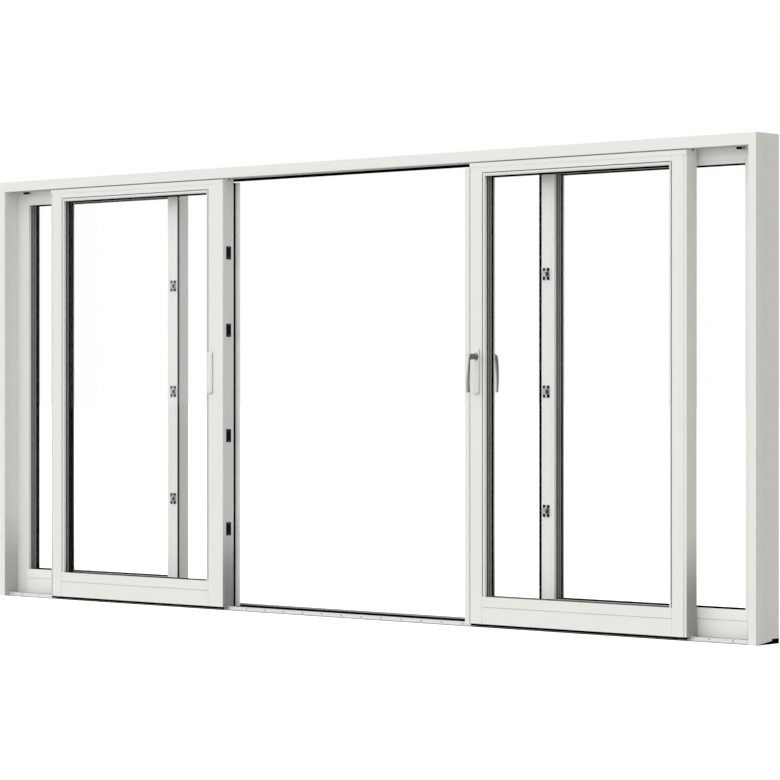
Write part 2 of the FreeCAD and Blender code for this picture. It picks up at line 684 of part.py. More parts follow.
def keep(z):
    """A keep let into the left leaf's inner edge at x = 0, with a slot for the hook."""
    y0 = KEEP_CENTRE_DEPTH - KEEP_DEPTH / 2
    y1 = KEEP_CENTRE_DEPTH + KEEP_DEPTH / 2
    body = box(KEEP_PROUD - KEEP_THICK, KEEP_PROUD, y0, y1, z - KEEP_HEIGHT / 2, z + KEEP_HEIGHT / 2)
    corners = [edge for edge in body.Edges if abs(edge.Length - KEEP_THICK) < 0.01]
    body = body.makeFillet(KEEP_THICK / 2, corners)
    wide, tall, deep = KEEP_SLOT
    slot = box(KEEP_PROUD - deep, KEEP_PROUD, KEEP_CENTRE_DEPTH - wide / 2,
               KEEP_CENTRE_DEPTH + wide / 2, z - tall / 2, z + tall / 2)
    return body.cut(slot)


def keep_recess(z):
    return box(KEEP_PROUD - KEEP_THICK, 0.0, KEEP_CENTRE_DEPTH - KEEP_DEPTH / 2,
               KEEP_CENTRE_DEPTH + KEEP_DEPTH / 2, z - KEEP_HEIGHT / 2, z + KEEP_HEIGHT / 2)


def lock_plate():
    """Steel plate let into the right leaf's inner edge at x = 0."""
    y0 = KEEP_CENTRE_DEPTH - FACEPLATE_WIDTH / 2
    return box(-FACEPLATE_THICK, 0.0, y0, y0 + FACEPLATE_WIDTH,
               KEEP_HEIGHTS[0] - FACEPLATE_MARGIN, KEEP_HEIGHTS[-1] + FACEPLATE_MARGIN)


# Handle set: pill-shaped plates and a lever on each face, on one square spindle

def pill_plate(x, face, outward):
    """A plate with round ends on the face at y = face; outward is -1 to the room, 1 outside."""
    half = PLATE_LENGTH / 2 - PLATE_WIDTH / 2
    y0 = min(face, face + outward * PLATE_THICK)
    y1 = y0 + PLATE_THICK
    body = box(x - PLATE_WIDTH / 2, x + PLATE_WIDTH / 2, y0, y1, PLATE_CENTRE - half,
               PLATE_CENTRE + half)
    for z in (PLATE_CENTRE - half, PLATE_CENTRE + half):
        body = body.fuse(along_y(PLATE_WIDTH / 2, x, z, y0, y1))
    body = body.removeSplitter()
    rim = face + outward * PLATE_THICK
    edges = [edge for edge in body.Edges
             if edge.BoundBox.YLength < 0.01 and abs(edge.CenterOfMass.y - rim) < 0.01]
    return body.makeChamfer(PLATE_BEVEL, edges)


def lever_side(level, bend, tip):
    """Six points of one side of the lever: its root, three on a bend, two on a bow to the tip.

    Each is a distance from the plate and a height over the pivot. The bend stops short of
    straight down by the lean, and the bow leaves it in the same direction."""
    start, radius = bend
    turn = math.radians(90.0 - GRIP_LEAN)
    points = [(GRIP_ROOT, level)]
    for angle in (0.0, turn / 2, turn):
        points.append((start + radius * math.sin(angle), level - radius * (1 - math.cos(angle))))
    out, down = points[-1]
    across = (-math.sin(turn), -math.cos(turn))
    chord = (tip[0] - out, tip[1] - down)
    bow = (chord[0] ** 2 + chord[1] ** 2) / (2 * (chord[0] * across[0] + chord[1] * across[1]))
    centre = (out + bow * across[0], down + bow * across[1])
    middle = (out + chord[0] / 2 - centre[0], down + chord[1] / 2 - centre[1])
    scale = bow / math.hypot(*middle)
    points.append((centre[0] + scale * middle[0], centre[1] + scale * middle[1]))
    points.append(tip)
    return points


def lever(x, face, outward):
    """A swan-necked lever: a round neck at its plate, a high bend and a thin hanging grip."""
    plate = face + outward * PLATE_THICK
    neck = Part.makeCone(NECK_RADIUS, NECK_END_RADIUS, NECK_LENGTH,
                         FreeCAD.Vector(x, plate + outward * SEAT_GAP, PIVOT_HEIGHT),
                         FreeCAD.Vector(0, outward, 0))
    edges = []
    ends = []
    for level, bend, tip in ((GRIP_TOP, OUTER_BEND, OUTER_TIP), (GRIP_UNDER, INNER_BEND, INNER_TIP)):
        places = [FreeCAD.Vector(x - GRIP_WIDTH / 2, plate + outward * reach, PIVOT_HEIGHT + rise)
                  for reach, rise in lever_side(level, bend, tip)]
        edges.append(Part.makeLine(places[0], places[1]))
        edges.append(Part.Arc(places[1], places[2], places[3]).toShape())
        edges.append(Part.Arc(places[3], places[4], places[5]).toShape())
        ends.append((places[0], places[5]))
    edges.append(Part.makeLine(ends[0][0], ends[1][0]))
    edges.append(Part.makeLine(ends[0][1], ends[1][1]))
    outline = Part.Wire(Part.__sortEdges__(edges))
    grip = Part.Face(outline).extrude(FreeCAD.Vector(GRIP_WIDTH, 0, 0))
    long_edges = [edge for edge in grip.Edges
                  if edge.BoundBox.XLength < 0.01 and edge.Length > 1.5 * INNER_BEND[1]]
    return neck.fuse(grip.makeChamfer(GRIP_BEVEL, long_edges))


def spindle(x):
    half = SPINDLE / 2
    y0 = -PLATE_THICK - SEAT_GAP
    y1 = LIGHT_THICK + PLATE_THICK + SEAT_GAP
    return box(x - half, x + half, y0, y1, PIVOT_HEIGHT - half, PIVOT_HEIGHT + half)


def spindle_hole(x):
    radius = SPINDLE * 0.7072 + SPINDLE_PLAY
    return along_y(radius, x, PIVOT_HEIGHT, -2 * PLATE_THICK, LIGHT_THICK + 2 * PLATE_THICK)


# Assembly of the frame

outer_face = {"left": X_LEFT, "right": -X_LEFT}
fixed_outer = {"left": X_LEFT + JAMB_FACE, "right": -X_LEFT - JAMB_FACE}

save("threshold_base", [threshold_base()])
save("running_rail", [running_rail()])
save("threshold_cover", [threshold_cover()])
save("head", [head()])
save("head_guide", [head_guide()])
save("head_seal", [head_seal()])

stop_bracket, stop_buffer = end_stop()
brackets = []
buffers = []
seals = []
clips = []
for side in ("left", "right"):
    save(f"{side}_jamb", [handed(jamb(), side, outer_face[side])])
    brackets.append(handed(stop_bracket, side, outer_face[side]))
    buffers.append(handed(stop_buffer, side, outer_face[side]))
    seals.append(handed(edge_seal(), side, outer_face[side]))
    for height in CLIP_HEIGHTS:
        clips.append(handed(clip(height), side, outer_face[side]))
save("stop_brackets", brackets)
save("stop_buffers", buffers)
save("fixed_edge_seals", seals)
save("interlock_clips", clips)

fixed = {}
for side in ("left", "right"):
    for kind, shapes in fixed_light().items():
        placed = [moved(handed(shape, side, fixed_outer[side]), y=ROOM + FIXED_FACE)
                  for shape in shapes]
        if kind in ("stiles", "rails"):
            save(f"{side}_fixed_{kind}", placed)
        else:
            fixed.setdefault(kind, []).extend(placed)
for kind, shapes in fixed.items():
    save(f"fixed_{kind}", shapes)

# Assembly of the left leaf, whose inner edge carries the keeps and the outside strip

left = leaf(LEAF_MEETING_STILE, LEAF_LENGTH)
left_recesses = [moved(keep_recess(z), x=LEAF_LENGTH) for z in KEEP_HEIGHTS]
left["stiles"][1] = left["stiles"][1].cut(Part.makeCompound(left_recesses))
left["keeps"] = [moved(keep(z), x=LEAF_LENGTH) for z in KEEP_HEIGHTS]
left["outside_strip"] = [moved(rear_strip(), x=LEAF_LENGTH)]
left["strip_seal"] = [moved(rear_strip_seal(), x=LEAF_LENGTH)]
left["cover_plate"] = [pill_plate(LEAF_LENGTH - COVER_PLATE_FROM_EDGE, 0.0, -1.0)]
left_start = X_LEFT + LEAF_OPEN + LEFT_LEAF_SLID
for kind, shapes in left.items():
    save(f"left_leaf_{kind}",
         [moved(shape, x=left_start, y=ROOM + LEAF_FACE) for shape in shapes])

# Assembly of the right leaf, whose inner edge is set back behind the room-side strip

body_length = LEAF_LENGTH - FRONT_STRIP
handle_x = LEAF_LENGTH - PLATE_FROM_EDGE
right_start = -X_LEFT - LEAF_OPEN - RIGHT_LEAF_SLID
right = leaf(LEAF_MEETING_STILE - FRONT_STRIP, body_length)
plate_recess = moved(lock_plate(), x=body_length)
right["stiles"][1] = right["stiles"][1].cut(plate_recess).cut(spindle_hole(handle_x))
right["room_strip"] = [moved(front_strip(), x=body_length)]
right["lock_plate"] = [plate_recess]
right["inside_plate"] = [pill_plate(handle_x, 0.0, -1.0).cut(spindle_hole(handle_x))]
right["outside_plate"] = [pill_plate(handle_x, LIGHT_THICK, 1.0).cut(spindle_hole(handle_x))]
for kind, shapes in right.items():
    save(f"right_leaf_{kind}",
         [moved(handed(shape, "right", right_start), y=ROOM + LEAF_FACE) for shape in shapes])

handle = {
    "handle_inside": lever(handle_x, 0.0, -1.0),
    "handle_outside": lever(handle_x, LIGHT_THICK, 1.0),
    "handle_spindle": spindle(handle_x),
}
for name, shape in handle.items():
    save(name, [moved(handed(shape, "right", right_start), y=ROOM + LEAF_FACE)])
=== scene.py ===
import math

import bmesh
import bpy
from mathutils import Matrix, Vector


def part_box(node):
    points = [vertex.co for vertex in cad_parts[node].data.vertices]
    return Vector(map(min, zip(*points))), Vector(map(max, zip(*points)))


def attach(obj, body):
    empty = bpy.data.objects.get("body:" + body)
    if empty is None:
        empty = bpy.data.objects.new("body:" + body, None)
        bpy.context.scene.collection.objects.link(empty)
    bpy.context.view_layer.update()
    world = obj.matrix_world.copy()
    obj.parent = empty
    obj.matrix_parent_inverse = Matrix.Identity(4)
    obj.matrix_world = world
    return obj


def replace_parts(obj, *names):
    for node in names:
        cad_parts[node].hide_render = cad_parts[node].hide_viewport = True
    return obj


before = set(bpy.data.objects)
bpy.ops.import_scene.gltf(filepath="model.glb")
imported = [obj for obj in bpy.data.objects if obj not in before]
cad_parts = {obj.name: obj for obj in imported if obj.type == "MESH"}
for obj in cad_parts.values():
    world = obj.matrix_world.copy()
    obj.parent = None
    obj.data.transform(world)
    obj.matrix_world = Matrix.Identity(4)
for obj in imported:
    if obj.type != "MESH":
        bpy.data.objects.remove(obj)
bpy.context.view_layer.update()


# Viewing place and light: a camera in the room, to the right of the door and at half its height,
# with a long lens that looks level at it. A wide soft light comes from the front and the left, the
# floor is pale, and the backdrop is plain white.

VIEW_TURN = math.radians(40.9)
VIEW_PLACE = (9.534, -10.7045, 1.085)
LENS_MM = 138.3
SENSOR_MM = 36.0
FARTHEST_SEEN = 400.0
PANE_FACES_CROSSED = 48

camera_data = bpy.data.cameras.new("camera")
camera_data.lens = LENS_MM
camera_data.sensor_width = SENSOR_MM
camera_data.clip_end = FARTHEST_SEEN
camera = bpy.data.objects.new("camera", camera_data)
camera.location = VIEW_PLACE
camera.rotation_euler = (math.radians(90.0), 0.0, VIEW_TURN)
bpy.context.collection.objects.link(camera)
scene = bpy.context.scene
scene.camera = camera
scene.view_settings.view_transform = "Standard"
scene.cycles.transparent_max_bounces = PANE_FACES_CROSSED


def linear(code):
    """An sRGB hex colour as linear red, green, blue and alpha."""
    parts = [int(code[i:i + 2], 16) / 255 for i in (1, 3, 5)]
    return tuple(v / 12.92 if v <= 0.04045 else ((v + 0.055) / 1.055) ** 2.4 for v in parts) + (1.0,)


def add(tree, kind, inputs=None, **settings):
    """Adds a node with its settings; inputs holds values and links by socket."""
    node = tree.nodes.new(kind)
    for name, value in settings.items():
        setattr(node, name, value)
    for socket, value in (inputs or {}).items():
        if isinstance(value, bpy.types.NodeSocket):
            tree.links.new(value, node.inputs[socket])
        else:
            node.inputs[socket].default_value = value
    return node


LIGHT_FROM = Vector((-0.2, -0.93, 0.17)).normalized()
LIGHT_ALL_ROUND = 0.45
LIGHT_SOFT_BOX = 1.18

world = bpy.data.worlds.new("studio")
scene.world = world
world.use_nodes = True
tree = world.node_tree
tree.nodes.clear()
rays = add(tree, "ShaderNodeLightPath")
place = add(tree, "ShaderNodeTexCoord")
toward = add(tree, "ShaderNodeVectorMath", {0: place.outputs["Generated"], 1: LIGHT_FROM},
             operation="DOT_PRODUCT")
facing = add(tree, "ShaderNodeMath", {0: toward.outputs["Value"], 1: 0.0}, operation="MAXIMUM")
studio = add(tree, "ShaderNodeMath", {0: facing.outputs[0], 1: LIGHT_SOFT_BOX, 2: LIGHT_ALL_ROUND},
             operation="MULTIPLY_ADD")
seen = add(tree, "ShaderNodeMath", {0: rays.outputs["Is Camera Ray"],
                                    1: rays.outputs["Is Transmission Ray"]}, operation="MAXIMUM")
strength = add(tree, "ShaderNodeMix", {"Factor": seen.outputs[0], "A": studio.outputs[0], "B": 1.0})
backdrop = add(tree, "ShaderNodeBackground", {"Color": linear("#FFFFFF"),
                                              "Strength": strength.outputs[0]})
add(tree, "ShaderNodeOutputWorld", {"Surface": backdrop.outputs[0]})


def new_material(name):
    """A material with a bare Principled shader; returns it with its tree and shader."""
    material = bpy.data.materials.new(name)
    material.use_nodes = True
    tree = material.node_tree
    shader = tree.nodes["Principled BSDF"]
    return material, tree, shader


def pattern_space(tree, scale):
    """Object coordinates, scaled along each axis."""
    place = add(tree, "ShaderNodeTexCoord")
    return add(tree, "ShaderNodeMapping", {"Vector": place.outputs["Object"], "Scale": scale})


# Pale floor paper: matt, with faint mottling. The boost keeps it as pale as the backdrop where
# the camera looks at it.
material, tree, shader = new_material("floor_paper")
space = pattern_space(tree, (3.0, 3.0, 3.0))
mottle = add(tree, "ShaderNodeTexNoise", {"Vector": space.outputs[0], "Scale": 1.0, "Detail": 3.0})
tint = add(tree, "ShaderNodeMix", {"Factor": mottle.outputs["Fac"], "A": linear("#D0D0CF"),
                                   "B": linear("#D7D7D6")}, data_type="RGBA")
tree.links.new(tint.outputs["Result"], shader.inputs["Base Color"])
shader.inputs["Roughness"].default_value = 0.9
shader.inputs["Specular IOR Level"].default_value = 0.0
rays = add(tree, "ShaderNodeLightPath")
seen = add(tree, "ShaderNodeMath", {0: rays.outputs["Is Camera Ray"],
                                    1: rays.outputs["Is Transmission Ray"]}, operation="MAXIMUM")
FLOOR_BOOST = 0.9
boost = add(tree, "ShaderNodeMath", {0: seen.outputs[0], 1: FLOOR_BOOST}, operation="MULTIPLY")
shader.inputs["Emission Color"].default_value = linear("#FFFFFF")
tree.links.new(boost.outputs[0], shader.inputs["Emission Strength"])

FLOOR_REACH = 150.0
FLOOR_LEVEL = -0.0006
mesh = bpy.data.meshes.new("floor")
mesh.from_pydata([(x * FLOOR_REACH, y * FLOOR_REACH, FLOOR_LEVEL)
                  for x, y in ((-1, -1), (1, -1), (1, 1), (-1, 1))], [], [(0, 1, 2, 3)])
mesh.materials.append(material)
floor = bpy.data.objects.new("floor", mesh)
bpy.context.collection.objects.link(floor)


# Threshold base: a black ribbed extrusion of glass-filled plastic that lies on the sill and
# carries the jambs, the rail and the fixed lights. Its ribs stand under the cover.

def coat(names, material):
    """Gives CAD nodes a finish."""
    for name in names:
        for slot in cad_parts[name].material_slots:
            slot.material = material


GRIT_GLOSS_SPREAD = 0.06


def speckle(name, colours, grit_mm, roughness, depth_mm, metallic=0.0, shine=0.5):
    """A moulded or cast surface: a fine mottle of two colours and a matching bump."""
    material, tree, shader = new_material(name)
    space = pattern_space(tree, (1000.0 / grit_mm,) * 3)
    grit = add(tree, "ShaderNodeTexNoise", {"Vector": space.outputs[0], "Scale": 1.0,
                                            "Detail": 4.0, "Roughness": 0.6})
    tint = add(tree, "ShaderNodeMix", {"Factor": grit.outputs["Fac"], "A": linear(colours[0]),
                                       "B": linear(colours[1])}, data_type="RGBA")
    gloss = add(tree, "ShaderNodeMapRange", {"Value": grit.outputs["Fac"],
                                             "To Min": roughness - GRIT_GLOSS_SPREAD,
                                             "To Max": roughness + GRIT_GLOSS_SPREAD})
    relief = add(tree, "ShaderNodeBump", {"Height": grit.outputs["Fac"], "Strength": 0.5,
                                          "Distance": depth_mm / 1000.0})
    tree.links.new(tint.outputs["Result"], shader.inputs["Base Color"])
    tree.links.new(gloss.outputs[0], shader.inputs["Roughness"])
    tree.links.new(relief.outputs[0], shader.inputs["Normal"])
    shader.inputs["Metallic"].default_value = metallic
    shader.inputs["Specular IOR Level"].default_value = shine
    return material


# Glass-filled black plastic, extruded: a fine grain of about 1 mm, so dull that it stays black
# at a flat angle.
base_plastic = speckle("extruded_black_plastic", ("#070707", "#0E0E0D"), grit_mm=1.0, roughness=0.7,
                       depth_mm=0.05, shine=0.0)
coat(["threshold_base"], base_plastic)


def swept(name, runs, material, body):
    """Straight strips on one body; each run is an outline in the other two axes, the axis that it
    runs along, its start and its end."""
    corners, faces = [], []
    for outline, axis, start, end in runs:
        first, count = len(corners), len(outline)
        for reach in (start, end):
            for pair in outline:
                corner = list(pair)
                corner.insert(axis, reach)
                corners.append(corner)
        faces.append([first + i for i in range(count)])
        faces.append([first + count + i for i in range(count)])
        for i in range(count):
            j = (i + 1) % count
            faces.append([first + i, first + j, first + count + j, first + count + i])
    mesh = bpy.data.meshes.new(name)
    mesh.from_pydata(corners, [], faces)
    turned = bmesh.new()
    turned.from_mesh(mesh)
    bmesh.ops.recalc_face_normals(turned, faces=turned.faces)
    turned.to_mesh(mesh)
    turned.free()
    mesh.materials.append(material)
    piece = bpy.data.objects.new(name, mesh)
    bpy.context.collection.objects.link(piece)
    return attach(piece, body)


def oblong(a0, a1, b0, b1):
    """The outline of a rectangle."""
    return [(a0, b0), (a1, b0), (a1, b1), (a0, b1)]


# Running rail: a pale anodised aluminium extrusion, screwed down through its foot. Small slots
# in its web let rain water run off to the outside.

# A die line is far longer than it is wide, and very shallow. The real ones are finer, and are
# drawn as coarse as they need to show.
LINE_STRETCH = 400.0
LINE_DEPTH = 0.00005
LINE_GLOSS_SPREAD = 0.08


def drawn_metal(name, colours, line_mm, roughness, along, metallic=1.0):
    """Drawn or brushed metal: fine lines that run along one axis, 0 for X, 1 for Y, 2 for Z."""
    material, tree, shader = new_material(name)
    scale = [1000.0 / line_mm] * 3
    scale[along] = 1000.0 / (line_mm * LINE_STRETCH)
    space = pattern_space(tree, scale)
    lines = add(tree, "ShaderNodeTexNoise", {"Vector": space.outputs[0], "Scale": 1.0,
                                             "Detail": 3.0, "Roughness": 0.7})
    tint = add(tree, "ShaderNodeMix", {"Factor": lines.outputs["Fac"], "A": linear(colours[0]),
                                       "B": linear(colours[1])}, data_type="RGBA")
    gloss = add(tree, "ShaderNodeMapRange", {"Value": lines.outputs["Fac"],
                                             "To Min": roughness - LINE_GLOSS_SPREAD,
                                             "To Max": roughness + LINE_GLOSS_SPREAD})
    relief = add(tree, "ShaderNodeBump", {"Height": lines.outputs["Fac"], "Strength": 0.25,
                                          "Distance": LINE_DEPTH})
    tree.links.new(tint.outputs["Result"], shader.inputs["Base Color"])
    tree.links.new(gloss.outputs[0], shader.inputs["Roughness"])
    tree.links.new(relief.outputs[0], shader.inputs["Normal"])
    shader.inputs["Metallic"].default_value = metallic
    return material


ALONG_WALL, UPRIGHT = 0, 2

# Pale anodised aluminium: a silky film over die lines about 0.8 mm apart.
rail_metal = drawn_metal("pale_anodised_aluminium", ("#E4E2DF", "#F6F4F1"), line_mm=0.8,
                         roughness=0.42, along=ALONG_WALL, metallic=0.5)
coat(["running_rail"], rail_metal)

# Dulled anodised aluminium: greyer and duller than the rail. It makes the thin nosing on the
# base's front slope, up to the rail's foot.
nosing_metal = drawn_metal("dulled_anodised_aluminium", ("#A9A8A5", "#BDBCB9"), line_mm=0.8,
                           roughness=0.5, along=ALONG_WALL, metallic=0.5)
NOSING_THICK = 0.0004
NOSING_LOW = 0.0006
base_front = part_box("threshold_base")[0].y
rail_low, rail_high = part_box("running_rail")
nosing = [(base_front, NOSING_LOW), (rail_low.y, rail_low.z),
          (rail_low.y, rail_low.z + NOSING_THICK), (base_front, NOSING_LOW + NOSING_THICK)]
swept("front_nosing", [(nosing, ALONG_WALL, rail_low.x, rail_high.x)], nosing_metal, "frame")

# Black blocks in the rail's drain slots, in the base's plastic: painted shade that darkens each
# slot.
SLOT_PITCH = 0.125
SLOT_COUNT = 37
SLOT_HALF = 0.0024
SLOT_LOW, SLOT_HIGH = 0.0071, 0.0139
WEB_HALF = 0.0022
web_middle = (rail_low.y + rail_high.y) / 2
drain_shades = []
for index in range(SLOT_COUNT):
    x = (index - (SLOT_COUNT - 1) / 2) * SLOT_PITCH
    drain_shades.append((oblong(web_middle - WEB_HALF, web_middle + WEB_HALF, SLOT_LOW, SLOT_HIGH),
                    ALONG_WALL, x - SLOT_HALF, x + SLOT_HALF))
swept("slot_baffles", drain_shades, base_plastic, "frame")


# A screw head tapers to its top, and its cross is given as shares of the head's radius and height.
SCREW_SIDES = 16
SCREW_TOP_SHARE = 0.72
CROSS_LONG, CROSS_WIDE, CROSS_HIGH = 1.1, 0.3, 0.12


def screw_tree():
    """Countersunk cross-head screws on points, all facing one way."""
    tree = bpy.data.node_groups.new("countersunk_screws", "GeometryNodeTree")
    face = tree.interface
    face.new_socket(name="Points", in_out="INPUT", socket_type="NodeSocketGeometry")
    face.new_socket(name="Head radius", in_out="INPUT", socket_type="NodeSocketFloat")
    face.new_socket(name="Head height", in_out="INPUT", socket_type="NodeSocketFloat")
    face.new_socket(name="Facing", in_out="INPUT", socket_type="NodeSocketVector")
    face.new_socket(name="Head", in_out="INPUT", socket_type="NodeSocketMaterial")
    face.new_socket(name="Recess", in_out="INPUT", socket_type="NodeSocketMaterial")
    face.new_socket(name="Geometry", in_out="OUTPUT", socket_type="NodeSocketGeometry")
    given = add(tree, "NodeGroupInput").outputs
    top = add(tree, "ShaderNodeMath", {0: given["Head radius"], 1: SCREW_TOP_SHARE},
              operation="MULTIPLY")
    head = add(tree, "GeometryNodeMeshCone", {"Vertices": SCREW_SIDES, "Radius Top": top.outputs[0],
                                              "Radius Bottom": given["Head radius"],
                                              "Depth": given["Head height"]})
    painted = add(tree, "GeometryNodeSetMaterial", {"Geometry": head.outputs["Mesh"],
                                                    "Material": given["Head"]})
    parts = [painted]
    for long_axis in (0, 1):
        across = [CROSS_WIDE, CROSS_WIDE]
        across[long_axis] = CROSS_LONG
        size = add(tree, "ShaderNodeCombineXYZ")
        for axis in (0, 1):
            side = add(tree, "ShaderNodeMath", {0: given["Head radius"], 1: across[axis]},
                       operation="MULTIPLY")
            tree.links.new(side.outputs[0], size.inputs[axis])
        thin = add(tree, "ShaderNodeMath", {0: given["Head height"], 1: CROSS_HIGH},
                   operation="MULTIPLY")
        tree.links.new(thin.outputs[0], size.inputs[2])
        bar = add(tree, "GeometryNodeMeshCube", {"Size": size.outputs[0]})
        lift = add(tree, "ShaderNodeCombineXYZ", {2: given["Head height"]})
        raised = add(tree, "GeometryNodeTransform", {"Geometry": bar.outputs["Mesh"],
                                                     "Translation": lift.outputs[0]})
        parts.append(add(tree, "GeometryNodeSetMaterial", {"Geometry": raised.outputs[0],
                                                           "Material": given["Recess"]}))
    joined = add(tree, "GeometryNodeJoinGeometry")
    for part in parts:
        tree.links.new(part.outputs[0], joined.inputs[0])
    placed = add(tree, "GeometryNodeInstanceOnPoints", {"Points": given["Points"],
                                                        "Instance": joined.outputs[0],
                                                        "Rotation": given["Facing"]})
    real = add(tree, "GeometryNodeRealizeInstances", {0: placed.outputs[0]})
    add(tree, "NodeGroupOutput", {0: real.outputs[0]})
    return tree


def grown(name, tree, points, values):
    """A plain mesh grown by a geometry tree from points, as an object at the origin."""
    seeds = bpy.data.meshes.new(name)
    seeds.from_pydata(points, [], [])
    piece = bpy.data.objects.new(name, seeds)
    bpy.context.collection.objects.link(piece)
    modifier = piece.modifiers.new("grow", "NODES")
    modifier.node_group = tree
    sockets = {item.name: item.identifier for item in tree.interface.items_tree
               if item.item_type == "SOCKET" and item.in_out == "INPUT"}
    for label, value in values.items():
        modifier[sockets[label]] = value
    bpy.context.view_layer.update()
    solid = piece.evaluated_get(bpy.context.evaluated_depsgraph_get())
    mesh = bpy.data.meshes.new_from_object(solid)
    piece.modifiers.clear()
    piece.data = mesh
    return piece


# Zinc-plated steel: bluish grey, a little mottled by the plating.
zinc_steel = speckle("zinc_plated_steel", ("#8E9092", "#A6A8A9"), grit_mm=3.0, roughness=0.38,
                     depth_mm=0.02, metallic=1.0)
# The driver's recess in a screw head is drawn as a raised dark cross, painted shade.
screw_recess = speckle("screw_recess_shadow", ("#0A0A0A", "#121212"), grit_mm=1.0, roughness=0.8,
                       depth_mm=0.01)
SCREWS = screw_tree()
TOWARD_RIGHT = (0.0, math.radians(90.0), 0.0)
TOWARD_LEFT = (0.0, math.radians(-90.0), 0.0)
UPWARD = (0.0, 0.0, 0.0)


def screws(name, body, points, facing, radius_mm, height_mm, head):
    """A set of like screws on one body."""
    piece = grown(name, SCREWS, points, {
        "Head radius": radius_mm / 1000.0, "Head height": height_mm / 1000.0, "Facing": facing,
        "Head": head, "Recess": screw_recess})
    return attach(piece, body)


RAIL_SCREW_PITCH = 0.5
RAIL_SCREW_FROM_END = 0.1
RAIL_SCREW_FROM_FRONT = 0.0036
RAIL_FOOT_THICK = 0.0026
points = []
x = rail_low.x + RAIL_SCREW_FROM_END
while x < rail_high.x:
    points.append((x, rail_low.y + RAIL_SCREW_FROM_FRONT, rail_low.z + RAIL_FOOT_THICK))
    x += RAIL_SCREW_PITCH
screws("rail_screws", "frame", points, UPWARD, radius_mm=2.6, height_mm=1.0,
               head=zinc_steel)


# Threshold cover: a natural anodised aluminium strip clipped over the ribs in the doorway, with
# fine raised lines along it so that a wet shoe doesn't slip.

# Natural anodised aluminium: mid grey, silky, die lines about 1 mm apart.
cover_metal = drawn_metal("natural_anodised_aluminium", ("#9A9A9A", "#ADADAC"), line_mm=1.0,
                          roughness=0.45, along=ALONG_WALL, metallic=0.8)
coat(["threshold_cover"], cover_metal)
cover_low, cover_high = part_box("threshold_cover")
# The base's front rib stands up black along the cover's front edge.
RIB_PROUD, RIB_LAP, RIB_BELOW = 0.0008, 0.0002, 0.0025
swept("front_rib", [(oblong(cover_low.y - RIB_PROUD, cover_low.y + RIB_LAP, cover_low.z,
                            cover_high.z - RIB_BELOW), ALONG_WALL, cover_low.x, cover_high.x)],
      base_plastic, "frame")


def line_tree():
    """Straight raised lines along X, each with its middle on a point."""
    tree = bpy.data.node_groups.new("raised_lines", "GeometryNodeTree")
    face = tree.interface
    face.new_socket(name="Points", in_out="INPUT", socket_type="NodeSocketGeometry")
    face.new_socket(name="Size", in_out="INPUT", socket_type="NodeSocketVector")
    face.new_socket(name="Finish", in_out="INPUT", socket_type="NodeSocketMaterial")
    face.new_socket(name="Geometry", in_out="OUTPUT", socket_type="NodeSocketGeometry")
    given = add(tree, "NodeGroupInput").outputs
    bar = add(tree, "GeometryNodeMeshCube", {"Size": given["Size"]})
    placed = add(tree, "GeometryNodeInstanceOnPoints", {"Points": given["Points"],
                                                        "Instance": bar.outputs["Mesh"]})
    real = add(tree, "GeometryNodeRealizeInstances", {0: placed.outputs[0]})
    painted = add(tree, "GeometryNodeSetMaterial", {"Geometry": real.outputs[0],
                                                    "Material": given["Finish"]})
    add(tree, "NodeGroupOutput", {0: painted.outputs[0]})
    return tree


LINE_PITCH = 0.006
LINE_FROM_BACK = 0.006
LINE_COUNT = 8
LINE_WIDE, LINE_HIGH = 0.0016, 0.0008
LINE_MIDDLE_UP = 0.0002
points = [((cover_low.x + cover_high.x) / 2, cover_high.y - LINE_FROM_BACK - index * LINE_PITCH,
           cover_high.z + LINE_MIDDLE_UP) for index in range(LINE_COUNT)]
treads = grown("cover_lines", line_tree(), points, {
    "Size": (cover_high.x - cover_low.x, LINE_WIDE, LINE_HIGH), "Finish": cover_metal})
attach(treads, "frame")


# Outer frame: two jambs and a head of laminated pine, planed, primed and sprayed with an off-white
# satin lacquer. The grain under the film runs the way of its board.

LACQUER_PALE = "#F4F3EF"
LACQUER_DEEP = "#EFEEE9"
CLOUDS_PER_METRE = 2.5
GRAIN_WIDE_MM, GRAIN_LONG_MM = 5.0, 350.0
SPRAY_MM = 2.5
GRAIN_IN_TINT, SPRAY_IN_RELIEF = 0.35, 0.4
FILM_GLOSS = (0.36, 0.46)
FILM_RELIEF = 0.0002


